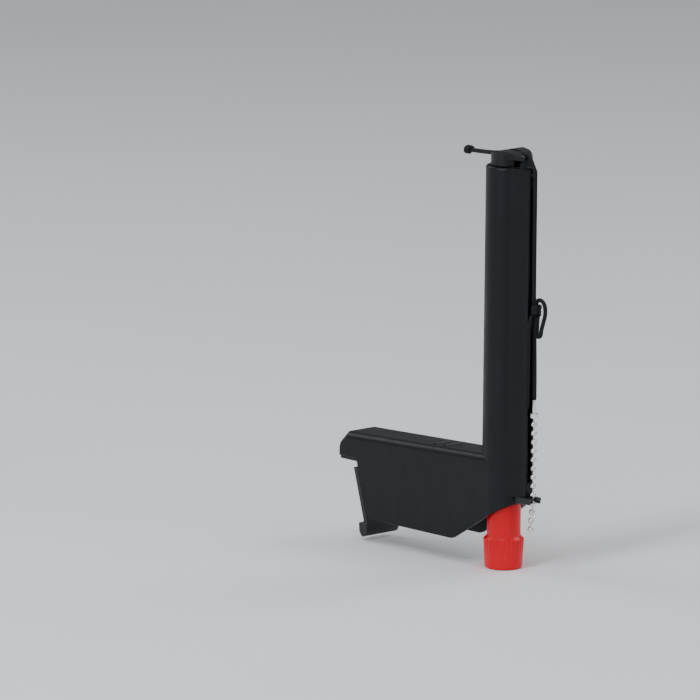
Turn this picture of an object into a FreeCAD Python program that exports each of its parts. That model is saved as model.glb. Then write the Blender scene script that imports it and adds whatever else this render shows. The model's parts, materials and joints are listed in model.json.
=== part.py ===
import FreeCAD, Part
import math
import os
import re

import Sketcher

# Table tennis net post with its clamp jaw, height adjuster and net cord.
# Origin: middle of the seat under the jaw's upper lip. +X points away from the
# table, +Y along the table's length, +Z up. Millimetres.

SIZES = {
    # post and arm
    "post_axis_x": 105,
    "post_radius": 11.5,
    "post_rim_z": 166.5,
    "arm_half_width": 11.5,
    "arm_wall": 2.3,
    "arm_bottom_z": -28.5,
    "arm_top_inner_z": 14.5,
    "arm_top_outer_z": 18.5,
    "arm_end_x": -6,
    "arm_end_chamfer": 5,
    "arm_edge_radius": 3.5,
    "roof_wall": 2.6,
    "lip_root_x": 6.6,
    "lip_under_z": 1.5,
    "arm_foot_x": 15.5,
    "heel_x": 78.5,
    "heel_radius": 6,
    "heel_slope": 0.61,
    "small_edge_radius": 0.7,
    "rim_edge_radius": 1.2,
    "rib_inner_x": 42,
    "rib_outer_x": 66,
    "rib_half": 1,
    "bay_end_x": 88,
    "tunnel_start_x": 30,
    "tunnel_height": 8,
    "top_rib_first_x": 59.5,
    "top_rib_second_x": 66.6,
    "top_rib_width": 0.5,
    "top_rib_height": 0.6,
    "top_rib_slope": 0.7,
    "top_rib_length": 12,
    # spine with the cord channel
    "spine_bottom_z": -1.5,
    "spine_tip": 18.1,
    "spine_tip_half": 2.7,
    "spine_root": 14.2,
    "spine_root_half": 3.3,
    "channel_half": 1.4,
    "channel_floor": 14.6,
    "channel_bottom_z": 6,
    "saddle_face": 18,
    # hollows of the post
    "knob_hole_radius": 9.3,
    "guide_back": 4.8,
    "guide_front": 5.3,
    "guide_half": 4.9,
    "net_groove_half": 2.5,
    "net_groove_floor": 6.1,
    "net_groove_z": 21,
    "rim_seat": 2,
    "pilot_radius": 1.25,
    # slider
    "stem_back": 4.5,
    "stem_front": 5,
    "stem_half": 4.6,
    "stem_bottom_z": 30,
    "stem_top_z": 170.1,
    "nut_height": 7.9,
    "head_gap": 0.4,
    "head_radius": 9,
    "head_flat": 8,
    "nose_root_half": 8.8,
    "nose_middle_half": 6.9,
    "nose_front_half": 5.2,
    "nose_front": 11,
    "nose_lip_z": 167,
    "nose_lip_start": 13,
    "head_top_z": 174.6,
    "nose_under_z": 170.6,
    "nose_tip": 14.3,
    "nose_half": 2.9,
    "head_groove_half": 1.45,
    "pin_radius": 1,
    "pin_z": 169,
    "pin_reach": 7.2,
    "seat_half": 6,
    "seat_back": 5.5,
    "seat_step": 9.1,
    "seat_tongue": 13,
    "seat_tongue_half": 3.1,
    "seat_gap": 0.1,
    "guide_screw_length": 12,
    "guide_screw_head": 1.6,
    "guide_screw_head_height": 2.3,
    "guide_screw_x": 9.9,
    # spindle and knob
    "thread_radius": 2.9,
    "journal_radius": 3,
    "collar_radius": 4.5,
    "collar_height": 2,
    "thread_top_z": 100,
    "spindle_bottom_z": -33,
    "clip_groove_radius": 2.5,
    "plate_thickness": 3,
    "plate_radius": 9.1,
    "plate_screw_y": 6.9,
    "knob_neck_radius": 8.6,
    "knob_neck_top_z": -5.6,
    "knob_shoulder_z": -23.6,
    "knob_shoulder": 1.8,
    "knob_radius": 10.35,
    "knob_base_radius": 9.6,
    "knob_bottom_z": -40.5,
    "knob_edge": 1.2,
    "flute_count": 30,
    "flute_radius": 0.85,
    "flute_circle": 10.75,
    # clamp jaw
    "hook_half_width": 11.3,
    "hook_thickness": 2.5,
    "hook_gap": 0.2,
    "hook_toe_x": 9.5,
    "hook_toe_top_z": -31.3,
    "hook_bottom_z": -38.4,
    "hook_travel": 5,
    "end_wall": 4,
    "stud_upper": 9,
    "stud_lower": 20,
    "stud_radius": 2.4,
    "stud_length": 11.5,
    "slot_half": 2.7,
    "nut_corner_radius": 4.6,
    "nut_thickness": 4,
    "pad_thickness": 1.5,
    # cord and ball chain
    "cord_radius": 1.1,
    "chain_x": 21,
    "ball_radius": 1.6,
    "ball_pitch": 4.53,
    "ball_lowest_z": 0.2,
    "ball_count": 9,
    "tail_count": 3,
    "tail_lean": 6,
    "link_radius": 0.5,
    "catch_thickness": 1.2,
    "catch_reach": 22.8,
    "catch_root": 12,
    "catch_half": 4,
    "catch_side": 1,
    "catch_side_reach": 22.4,
    "catch_side_drop": 3,
    "catch_side_overlap": 0.5,
    "catch_slot_half": 0.85,
    "catch_screw_x": 14.6,
    "catch_screw_radius": 1,
    "catch_hole_radius": 1.2,
    "plate_hole_radius": 1.6,
    "plate_screw_length": 11.5,
    "plate_screw_radius": 1.2,
    "plate_screw_head": 2.2,
    "plate_screw_head_height": 1.8,
    "washer_radius": 4.2,
    "washer_thickness": 0.8,
    "clip_radius": 4.3,
    "knob_recess_radius": 4.6,
    "knob_recess": 3.3,
    "knob_screw_radius": 1.25,
    "knob_screw_head": 3,
    "knob_screw_head_height": 1.8,
    "knob_screw_length": 9.5,
    "knob_screw_hole": 1.7,
    "coupling_bottom_z": 39.9,
    "coupling_height": 2.2,
    "coupling_radius": 2.1,
    "ferrule_radius": 0.95,
    "ferrule_top_z": 48.95,
}
SHEET = "Sizes"
# how near two places are that count as one
NEAR = 0.01

doc = FreeCAD.newDocument("net_clamp")
sheet = doc.addObject("Spreadsheet::Sheet", SHEET)
for row, (alias, value) in enumerate(SIZES.items(), start=1):
    sheet.set(f"A{row}", alias)
    sheet.set(f"B{row}", str(value))
    sheet.setAlias(f"B{row}", alias)
doc.recompute()

nodes = {}


def size(name):
    return float(getattr(sheet, name))


def bound(text):
    """The text as an expression, each sheet name with its sheet in front."""
    def named(word):
        return f"{SHEET}.{word[0]}" if word[0] in SIZES else word[0]
    return re.sub(r"[a-z][a-z_0-9]*", named, str(text))


def bind(thing, **places):
    """Binds properties to the sheet; a double underscore stands for a dot."""
    for place, text in places.items():
        thing.setExpression(place.replace("__", "."), bound(text))
    return thing


def node(name, thing):
    """Names a finished sub-part."""
    thing.Label = name
    nodes[name] = thing
    return thing


# ---------------------------------------------------------------- primitives

def box(name, low, high):
    """A box between two corners given as expressions."""
    made = doc.addObject("Part::Box", name)
    spans = [f"({b}) - ({a})" for a, b in zip(low, high)]
    bind(made, Length=spans[0], Width=spans[1], Height=spans[2])
    return bind(made, Placement__Base__x=low[0], Placement__Base__y=low[1], Placement__Base__z=low[2])


AXES = {"Z": (0, 0, 1, 0), "X": (0, 1, 0, 90), "Y": (1, 0, 0, -90)}


def cylinder(name, base, radius, height, axis="Z"):
    """A cylinder from its base point along +X, +Y or +Z."""
    made = doc.addObject("Part::Cylinder", name)
    x, y, z, turn = AXES[axis]
    made.Placement = FreeCAD.Placement(
        FreeCAD.Vector(), FreeCAD.Rotation(FreeCAD.Vector(x, y, z), turn))
    bind(made, Radius=radius, Height=height)
    return bind(made, Placement__Base__x=base[0], Placement__Base__y=base[1], Placement__Base__z=base[2])


def ball(name, centre, radius):
    made = doc.addObject("Part::Sphere", name)
    bind(made, Radius=radius)
    return bind(made, Placement__Base__x=centre[0], Placement__Base__y=centre[1],
                Placement__Base__z=centre[2])


def fuse(name, pieces):
    made = doc.addObject("Part::MultiFuse", name)
    made.Shapes = pieces
    return made


def group(name, pieces):
    """Separate solids kept in one node."""
    made = doc.addObject("Part::Compound", name)
    made.Links = pieces
    return made


def cut(name, base, tools):
    made = doc.addObject("Part::Cut", name)
    made.Base = base
    made.Tool = tools[0] if len(tools) == 1 else fuse(f"{name}_tools", tools)
    return made


def pan_screw(name, x, y, seat_z, length, shank, head_radius, head_height, up):
    """A pan-head screw whose head bears on seat_z; up is 1 when its shank points up."""
    shank_z = seat_z if up > 0 else f"({seat_z}) - ({length})"
    head_z = f"({seat_z}) - ({head_height})" if up > 0 else seat_z
    body = cylinder(f"{name}_shank", (x, y, shank_z), shank, length)
    head = cylinder(f"{name}_head", (x, y, head_z), head_radius, head_height)
    slot_z = head_z if up > 0 else f"({head_z}) + ({head_height}) / 2"
    slot = box(f"{name}_slot", (f"({x}) - 0.4", f"({y}) - 3", slot_z),
               (f"({x}) + 0.4", f"({y}) + 3", f"({slot_z}) + ({head_height}) / 2"))
    return cut(name, fuse(f"{name}_blank", [body, head]), [slot])


# --------------------------------------------------------------- sketches

def new_body(name):
    return doc.addObject("PartDesign::Body", f"{name}_body")


def sketch_on(body, name, role, height="0"):
    """A sketch on one of the body's own origin planes, lifted by height."""
    made = body.newObject("Sketcher::SketchObject", name)
    plane = next(one for one in body.Origin.OriginFeatures if one.Role == role)
    made.AttachmentSupport = [(plane, "")]
    made.MapMode = "FlatFace"
    bind(made, AttachmentOffset__Base__z=height)
    return made


def outline(sketch, corners):
    """A closed outline of straight edges; each corner is a pair of expressions."""
    first = sketch.GeometryCount
    count = len(corners)
    angles = [-math.tau * step / count for step in range(count)]
    starts = [FreeCAD.Vector(math.cos(a), math.sin(a), 0) for a in angles]
    for step in range(count):
        sketch.addGeometry(Part.LineSegment(starts[step], starts[(step + 1) % count]))
    for step in range(count):
        following = first + (step + 1) % count
        sketch.addConstraint(Sketcher.Constraint("Coincident", first + step, 2, following, 1))
    for step, corner in enumerate(corners):
        for kind, text, start in zip(("DistanceX", "DistanceY"), corner, starts[step]):
            place = sketch.addConstraint(Sketcher.Constraint(kind, -1, 1, first + step, 1, start))
            sketch.setExpression(f"Constraints[{place}]", bound(text))


def rectangle(sketch, low, high):
    outline(sketch, [(low[0], low[1]), (low[0], high[1]), (high[0], high[1]), (high[0], low[1])])


def ring(sketch, centre, radius):
    """A circle with its centre and radius bound."""
    made = sketch.addGeometry(Part.Circle(FreeCAD.Vector(1, 1, 0), FreeCAD.Vector(0, 0, 1), 1))
    for kind, text in zip(("DistanceX", "DistanceY"), centre):
        place = sketch.addConstraint(Sketcher.Constraint(kind, -1, 1, made, 3, 1.0))
        sketch.setExpression(f"Constraints[{place}]", bound(text))
    place = sketch.addConstraint(Sketcher.Constraint("Radius", made, 1.0))
    sketch.setExpression(f"Constraints[{place}]", bound(radius))


def feature(body, kind, sketch, length, middle=False):
    """A Pad (up from its sketch) or a Pocket (down from it), or both ways from the middle."""
    made = body.newObject(f"PartDesign::{kind}", f"{sketch.Name}_{kind.lower()}")
    made.Profile = sketch
    made.Midplane = middle
    bind(made, Length=length)
    sketch.Visibility = False
    doc.recompute()
    return made


def revolved(body, sketch):
    made = body.newObject("PartDesign::Revolution", f"{sketch.Name}_turned")
    made.Profile = sketch
    made.ReferenceAxis = (sketch, ["V_Axis"])
    made.Angle = 360
    doc.recompute()
    return made


def edges_where(shape, wanted):
    """Names of the edges whose two ends and middle all satisfy a test."""
    found = []
    for number, edge in enumerate(shape.Edges, start=1):
        spots = [v.Point for v in edge.Vertexes] + [edge.CenterOfMass]
        if all(wanted(spot) for spot in spots):
            found.append(f"Edge{number}")
    return found


def fillet(body, base, wanted, radius):
    made = body.newObject("PartDesign::Fillet", f"{base.Name}_fillet")
    made.Base = (base, edges_where(base.Shape, wanted))
    bind(made, Radius=radius)
    doc.recompute()
    return made


# ------------------------------------------------------------------ housing

# the jaw's slanting back face, and the frame of the parts that lie on it
SLANT_TOP = (size("lip_root_x"), size("lip_under_z"))
SLANT_FOOT = (size("arm_foot_x"), size("arm_bottom_z"))
SLANT_LONG = math.dist(SLANT_TOP, SLANT_FOOT)
DOWN = ((SLANT_FOOT[0] - SLANT_TOP[0]) / SLANT_LONG, (SLANT_FOOT[1] - SLANT_TOP[1]) / SLANT_LONG)
OUT = (DOWN[1], -DOWN[0])


def on_slant(down, out):
    """The x and z of a point of the slanting face, moved down it and out of it."""
    return tuple(SLANT_TOP[i] + down * DOWN[i] + out * OUT[i] for i in range(2))


def roof_z(x):
    """Inner height of the arm's sloping roof at x."""
    slope = "(arm_top_outer_z - arm_top_inner_z) / (post_axis_x - arm_end_x - arm_end_chamfer)"
    return f"arm_top_inner_z - roof_wall + (({x}) - arm_end_x - arm_end_chamfer) * {slope}"


def make_housing():
    """One moulding: arm, round post, spine with the cord channel."""
    body = new_body("housing")
    side = sketch_on(body, "arm_side", "XZ_Plane")
    outline(side, [
        ("arm_end_x", "lip_under_z"),
        ("arm_end_x", "arm_top_inner_z - arm_end_chamfer"),
        ("arm_end_x + arm_end_chamfer", "arm_top_inner_z"),
        ("post_axis_x", "arm_top_outer_z"),
        ("post_axis_x", "arm_bottom_z + (post_axis_x - heel_x) * heel_slope"),
        ("heel_x", "arm_bottom_z"),
        ("arm_foot_x", "arm_bottom_z"),
        ("lip_root_x", "lip_under_z"),
    ])
    arm = feature(body, "Pad", side, "2 * arm_half_width", middle=True)
    half, heel = size("arm_half_width"), size("heel_x")
    shoulder = size("arm_top_inner_z") - size("arm_end_chamfer")
    arm = fillet(body, arm, lambda p: abs(p.x - heel) < NEAR and p.z < size("arm_bottom_z") + NEAR,
                 "heel_radius")
    arm = fillet(body, arm, lambda p: abs(abs(p.y) - half) < NEAR and p.z > shoulder - NEAR,
                 "arm_edge_radius")
    fillet(body, arm, lambda p: abs(abs(p.y) - half) < NEAR and p.z < shoulder, "small_edge_radius")

    post = sketch_on(body, "post_circle", "XY_Plane", "arm_bottom_z")
    ring(post, ("post_axis_x", "0"), "post_radius")
    column = feature(body, "Pad", post, "post_rim_z - arm_bottom_z")
    fillet(body, column, lambda p: p.z > size("post_rim_z") - NEAR, "rim_edge_radius")
    heel_cut = sketch_on(body, "heel_cut", "XZ_Plane")
    outline(heel_cut, [
        ("heel_x + 4", "arm_bottom_z - 2"),
        ("heel_x + 4", "arm_bottom_z + 4 * heel_slope"),
        ("post_axis_x + post_radius + 0.4",
         "arm_bottom_z + (post_axis_x + post_radius + 0.4 - heel_x) * heel_slope"),
        ("post_axis_x + post_radius + 0.4", "arm_bottom_z - 2"),
    ])
    feature(body, "Pocket", heel_cut, "4 * post_radius", middle=True)
    spine = sketch_on(body, "spine_section", "XY_Plane", "spine_bottom_z")
    outline(spine, [
        ("post_axis_x + 7.2", "-8.6"),
        ("post_axis_x + 7.2", "8.6"),
        ("post_axis_x + spine_root", "spine_root_half"),
        ("post_axis_x + spine_tip", "spine_tip_half"),
        ("post_axis_x + spine_tip", "-spine_tip_half"),
        ("post_axis_x + spine_root", "-spine_root_half"),
    ])
    column = feature(body, "Pad", spine, "post_rim_z - spine_bottom_z")
    root = size("post_axis_x") + size("spine_root")
    fillet(body, column, lambda p: p.z > size("post_rim_z") - NEAR and p.x > root - NEAR, "rim_edge_radius")

    # hollow arm, open below, with two cross ribs
    inside = "2 * (arm_half_width - arm_wall)"
    bays = sketch_on(body, "arm_bays", "XZ_Plane")
    wall_top, wall_foot = on_slant(3.6, -size("end_wall")), on_slant(SLANT_LONG + 2, -size("end_wall"))
    inner_end = "rib_inner_x - rib_half"
    outline(bays, [wall_foot, wall_top, (wall_top[0], roof_z(wall_top[0])), (inner_end, roof_z(inner_end)),
                   (inner_end, wall_foot[1])])
    for near, far in (("rib_inner_x + rib_half", "rib_outer_x - rib_half"),
                      ("rib_outer_x + rib_half", "bay_end_x")):
        outline(bays, [(near, "arm_bottom_z - 2"), (near, roof_z(near)),
                       (far, roof_z(far)), (far, "arm_bottom_z - 2")])
    feature(body, "Pocket", bays, inside, middle=True)
    tunnel = sketch_on(body, "arm_tunnel", "XZ_Plane")
    rectangle(tunnel, ("tunnel_start_x", "arm_bottom_z - 2"), ("bay_end_x", "arm_bottom_z + tunnel_height"))
    feature(body, "Pocket", tunnel, inside, middle=True)
    throat = sketch_on(body, "knob_throat", "XY_Plane", "-3.2")
    rectangle(throat, ("bay_end_x - 2", "arm_wall - arm_half_width"),
              ("post_axis_x", "arm_half_width - arm_wall"))
    feature(body, "Pocket", throat, "40")
    well = sketch_on(body, "knob_well", "XY_Plane")
    ring(well, ("post_axis_x", "0"), "knob_hole_radius")
    feature(body, "Pocket", well, "40")

    # slider guide, net groove, cord channel and the seat of the top guide
    guide = sketch_on(body, "slider_guide", "XY_Plane", "post_rim_z")
    rectangle(guide, ("post_axis_x - guide_back", "-guide_half"), ("post_axis_x + guide_front", "guide_half"))
    feature(body, "Pocket", guide, "post_rim_z + 1")
    groove = sketch_on(body, "net_groove", "XY_Plane", "post_rim_z")
    rectangle(groove, ("post_axis_x - post_radius - 1", "-net_groove_half"),
              ("post_axis_x - net_groove_floor", "net_groove_half"))
    feature(body, "Pocket", groove, "post_rim_z - net_groove_z")
    channel = sketch_on(body, "cord_channel", "XY_Plane", "post_rim_z")
    rectangle(channel, ("post_axis_x + channel_floor", "-channel_half"),
              ("post_axis_x + spine_tip + 1", "channel_half"))
    feature(body, "Pocket", channel, "post_rim_z - channel_bottom_z")
    saddle = sketch_on(body, "cord_saddle", "XZ_Plane")
    outline(saddle, [
        ("post_axis_x + channel_floor - 0.5", "post_rim_z - 10"),
        ("post_axis_x + channel_floor - 0.5", "post_rim_z - 1.6"),
        ("post_axis_x + saddle_face - 1.5", "post_rim_z - 1.6"),
        ("post_axis_x + saddle_face", "post_rim_z - 3.5"),
        ("post_axis_x + saddle_face", "post_rim_z - 10"),
    ])
    feature(body, "Pad", saddle, "2 * channel_half + 0.4", middle=True)
    seat = sketch_on(body, "guide_seat", "XY_Plane", "post_rim_z")
    step, tongue = "post_axis_x + seat_step", "post_axis_x + seat_tongue"
    outline(seat, [
        ("post_axis_x - seat_back", "-seat_half"), ("post_axis_x - seat_back", "seat_half"),
        (step, "seat_half"), (step, "seat_tongue_half"), (tongue, "seat_tongue_half"),
        (tongue, "-seat_tongue_half"), (step, "-seat_tongue_half"), (step, "-seat_half"),
    ])
    feature(body, "Pocket", seat, "rim_seat")

    # two low ribs across the arm's top, beside the post
    ribs = sketch_on(body, "top_ribs", "XZ_Plane")
    for near in ("top_rib_first_x", "top_rib_second_x"):
        far = f"{near} + top_rib_width"
        crest = "roof_wall + top_rib_height"
        foot = f"{far} + top_rib_slope"
        outline(ribs, [(near, f"{roof_z(near)} + 1"), (near, f"{roof_z(near)} + {crest}"),
                       (far, f"{roof_z(far)} + {crest}"), (foot, f"{roof_z(foot)} + roof_wall"),
                       (foot, f"{roof_z(foot)} + 1")])
    feature(body, "Pad", ribs, "top_rib_length", middle=True)

    # screw holes
    pilots = sketch_on(body, "guide_pilot", "XY_Plane", "post_rim_z")
    ring(pilots, ("post_axis_x + guide_screw_x", "0"), "pilot_radius")
    feature(body, "Pocket", pilots, "13")
    below = sketch_on(body, "plate_pilots", "XY_Plane", "10")
    for side_y in ("plate_screw_y", "-plate_screw_y"):
        ring(below, ("post_axis_x", side_y), "pilot_radius")
    feature(body, "Pocket", below, "11")
    catch = sketch_on(body, "catch_pilot", "XY_Plane", "5.5")
    ring(catch, ("post_axis_x + catch_screw_x", "0"), "catch_screw_radius + 0.05")
    feature(body, "Pocket", catch, "8")
    return body


def slanting(made, down, out, start_y=0):
    """Puts a piece on the slanting face: its length runs down the face, its height into the arm."""
    x, z = on_slant(down, out)
    turn = FreeCAD.Rotation(FreeCAD.Vector(DOWN[0], 0, DOWN[1]), FreeCAD.Vector(0, 1, 0),
                            FreeCAD.Vector(-OUT[0], 0, -OUT[1]), "ZXY")
    made.Placement = FreeCAD.Placement(FreeCAD.Vector(x, start_y, z), turn)
    return made


def slanting_rod(name, down, out, radius, length):
    made = doc.addObject("Part::Cylinder", name)
    return slanting(bind(made, Radius=radius, Height=length), down, out)


def slanting_nut(name, down, out):
    made = doc.addObject("Part::Prism", name)
    made.Polygon = 6
    return slanting(bind(made, Circumradius="nut_corner_radius", Height="nut_thickness"), down, out)


STUDS = (("upper", size("stud_upper")), ("lower", size("stud_lower")))


def make_hook_parts():
    """The jaw's sliding hook plate with its studs, washers and nuts; returns the arm's slots."""
    body = new_body("hook")
    side = sketch_on(body, "hook_side", "XZ_Plane")
    plate_out = size("hook_gap") + size("hook_thickness")
    foot_face = on_slant(SLANT_LONG, size("hook_gap"))
    outline(side, [
        on_slant(4, size("hook_gap")),
        foot_face,
        (foot_face[0], "hook_bottom_z + 3"),
        (foot_face[0] - 1, "hook_bottom_z + 0.9"),
        (foot_face[0] - 3, "hook_bottom_z"),
        ("hook_toe_x + 1.6", "hook_bottom_z + 0.8"),
        ("hook_toe_x + 0.3", "hook_bottom_z + 2.6"),
        ("hook_toe_x", "hook_toe_top_z"),
        (on_slant(SLANT_LONG, plate_out)[0], "hook_toe_top_z"),
        on_slant(SLANT_LONG, plate_out),
        on_slant(4, plate_out),
    ])
    feature(body, "Pad", side, "2 * hook_half_width", middle=True)
    studs, washers, nuts, slots = [], [], [], []
    wall = size("end_wall")
    for place, down in STUDS:
        studs.append(slanting_rod(f"stud_{place}", down, size("hook_gap"), "stud_radius", "stud_length"))
        washers.append(cut(f"washer_{place}",
                           slanting_rod(f"washer_disc_{place}", down, -wall - 0.3, "5.2", "1"),
                           [slanting_rod(f"washer_bore_{place}", down, -wall, "stud_radius + 0.1", "2")]))
        nuts.append(cut(f"nut_{place}", slanting_nut(f"nut_blank_{place}", down, -wall - 1.4),
                        [slanting_rod(f"nut_bore_{place}", down, -wall - 1, "stud_radius + 0.05", "8")]))
        for step, moved in enumerate((0, size("hook_travel"))):
            slots.append(slanting_rod(f"slot_end_{place}_{step}", down + moved, 1, "slot_half", wall + 2))
        middle = doc.addObject("Part::Box", f"slot_middle_{place}")
        bind(middle, Length="hook_travel", Width="2 * slot_half", Height="end_wall + 2")
        slots.append(slanting(middle, down, 1, -size("slot_half")))
    node("hook_plate", body)
    node("hook_studs", group("stud_pair", studs))
    node("hook_washers", group("washer_pair", washers))
    node("hook_nuts", group("nut_pair", nuts))
    return slots


# ------------------------------------------------------------------- slider

def make_slider():
    """Stem, nut, head with its cord groove, and the pin between head and stem."""
    axis = "post_axis_x"
    nut_low = "stem_bottom_z - nut_height - 0.1"
    nut = box("nut_block", (f"{axis} - stem_back", "-stem_half", nut_low),
              (f"{axis} + stem_front", "stem_half", f"{nut_low} + nut_height"))
    bore = cylinder("nut_bore", (axis, "0", f"{nut_low} - 1"), "thread_radius + 0.05", "nut_height + 2")
    node("lift_nut", cut("nut_cut", nut, [bore]))

    bar = box("stem_bar", (f"{axis} - stem_back", "-stem_half", "stem_bottom_z"),
              (f"{axis} + stem_front", "stem_half", "stem_top_z"))
    well = cylinder("stem_well", (axis, "0", "stem_bottom_z - 1"), "thread_radius + 0.5", "90")
    pin_hole = cylinder("stem_pin_hole", (axis, "-20", "pin_z"), "pin_radius + 0.02", "40", "Y")
    node("slider_stem", cut("stem_cut", bar, [well, pin_hole]))

    body = new_body("head")
    block = sketch_on(body, "head_block", "XY_Plane", "post_rim_z + head_gap")
    ring(block, (axis, "0"), "head_radius")
    feature(body, "Pad", block, "head_top_z - post_rim_z - head_gap")
    nose = sketch_on(body, "head_nose", "XY_Plane", "nose_under_z")
    outline(nose, [
        (f"{axis} + 1", "-nose_root_half"), (f"{axis} + 1", "nose_root_half"),
        (f"{axis} + head_flat", "nose_middle_half"), (f"{axis} + nose_front", "nose_front_half"),
        (f"{axis} + nose_tip - 0.7", "nose_half + 0.7"), (f"{axis} + nose_tip", "nose_half"),
        (f"{axis} + nose_tip", "-nose_half"), (f"{axis} + nose_tip - 0.7", "-nose_half - 0.7"),
        (f"{axis} + nose_front", "-nose_front_half"), (f"{axis} + head_flat", "-nose_middle_half"),
    ])
    feature(body, "Pad", nose, "head_top_z - nose_under_z")
    flat = sketch_on(body, "head_flat_cut", "XY_Plane", "nose_under_z")
    rectangle(flat, (f"{axis} + head_flat", "-head_radius"), (f"{axis} + head_radius + 1", "head_radius"))
    feature(body, "Pocket", flat, "nose_under_z - post_rim_z")
    lip = sketch_on(body, "nose_lip", "XY_Plane", "nose_lip_z")
    rectangle(lip, (f"{axis} + nose_lip_start", "-nose_half"), (f"{axis} + nose_tip", "nose_half"))
    feature(body, "Pad", lip, "nose_under_z - nose_lip_z + 0.2")
    crown = sketch_on(body, "head_crown", "XZ_Plane")
    outline(crown, [
        (f"{axis} - 12", "head_top_z + 3"), (f"{axis} - 12", "head_top_z - 2.9"),
        (f"{axis} - 7.4", "head_top_z - 2.3"), (f"{axis} - 4.6", "head_top_z - 1.9"),
        (f"{axis} - 3", "head_top_z - 1.3"), (f"{axis} - 1.6", "head_top_z - 0.5"),
        (f"{axis} + 0.6", "head_top_z"), (f"{axis} + 6.4", "head_top_z - 0.1"),
        (f"{axis} + 10", "head_top_z - 0.6"), (f"{axis} + 12.8", "head_top_z - 1.5"),
        (f"{axis} + nose_tip + 0.2", "head_top_z - 2.7"), (f"{axis} + 18", "head_top_z - 5"),
        (f"{axis} + 18", "head_top_z + 3"),
    ])
    feature(body, "Pocket", crown, "4 * head_radius", middle=True)
    groove = sketch_on(body, "head_groove", "XZ_Plane")
    outline(groove, [
        (f"{axis} - 12", "head_top_z + 4"), (f"{axis} - 12", "head_top_z - 5.1"),
        (f"{axis} - 7.4", "head_top_z - 4.9"), (f"{axis} - 2", "head_top_z - 3.6"),
        (f"{axis} + 4.5", "head_top_z - 2.7"), (f"{axis} + 9.6", "head_top_z - 2.5"),
        (f"{axis} + 12.6", "head_top_z - 2.7"), (f"{axis} + 16", "head_top_z - 3.9"),
        (f"{axis} + 16", "head_top_z + 4"),
    ])
    feature(body, "Pocket", groove, "2 * head_groove_half", middle=True)
    socket = sketch_on(body, "head_socket", "XY_Plane", "stem_top_z + 0.1")
    rectangle(socket, (f"{axis} - stem_back - 0.05", "-stem_half - 0.05"),
              (f"{axis} + stem_front + 0.05", "stem_half + 0.05"))
    feature(body, "Pocket", socket, "5")
    pin_way = sketch_on(body, "head_pin_way", "XZ_Plane", "pin_reach + 0.05")
    ring(pin_way, (axis, "pin_z"), "pin_radius + 0.02")
    feature(body, "Pocket", pin_way, "4 * head_radius")
    node("slider_head", body)
    node("head_pin", cylinder("head_pin_rod", (axis, "-pin_reach", "pin_z"), "pin_radius",
                              "2 * pin_reach", "Y"))


# --------------------------------------------------------- knob and spindle

def profile_body(name, corners):
    """A turned part about the post's axis; corners are radius and height."""
    body = new_body(name)
    section = sketch_on(body, f"{name}_section", "XZ_Plane")
    outline(section, corners)
    revolved(body, section)
    bind(body, Placement__Base__x="post_axis_x")
    return body


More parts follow.
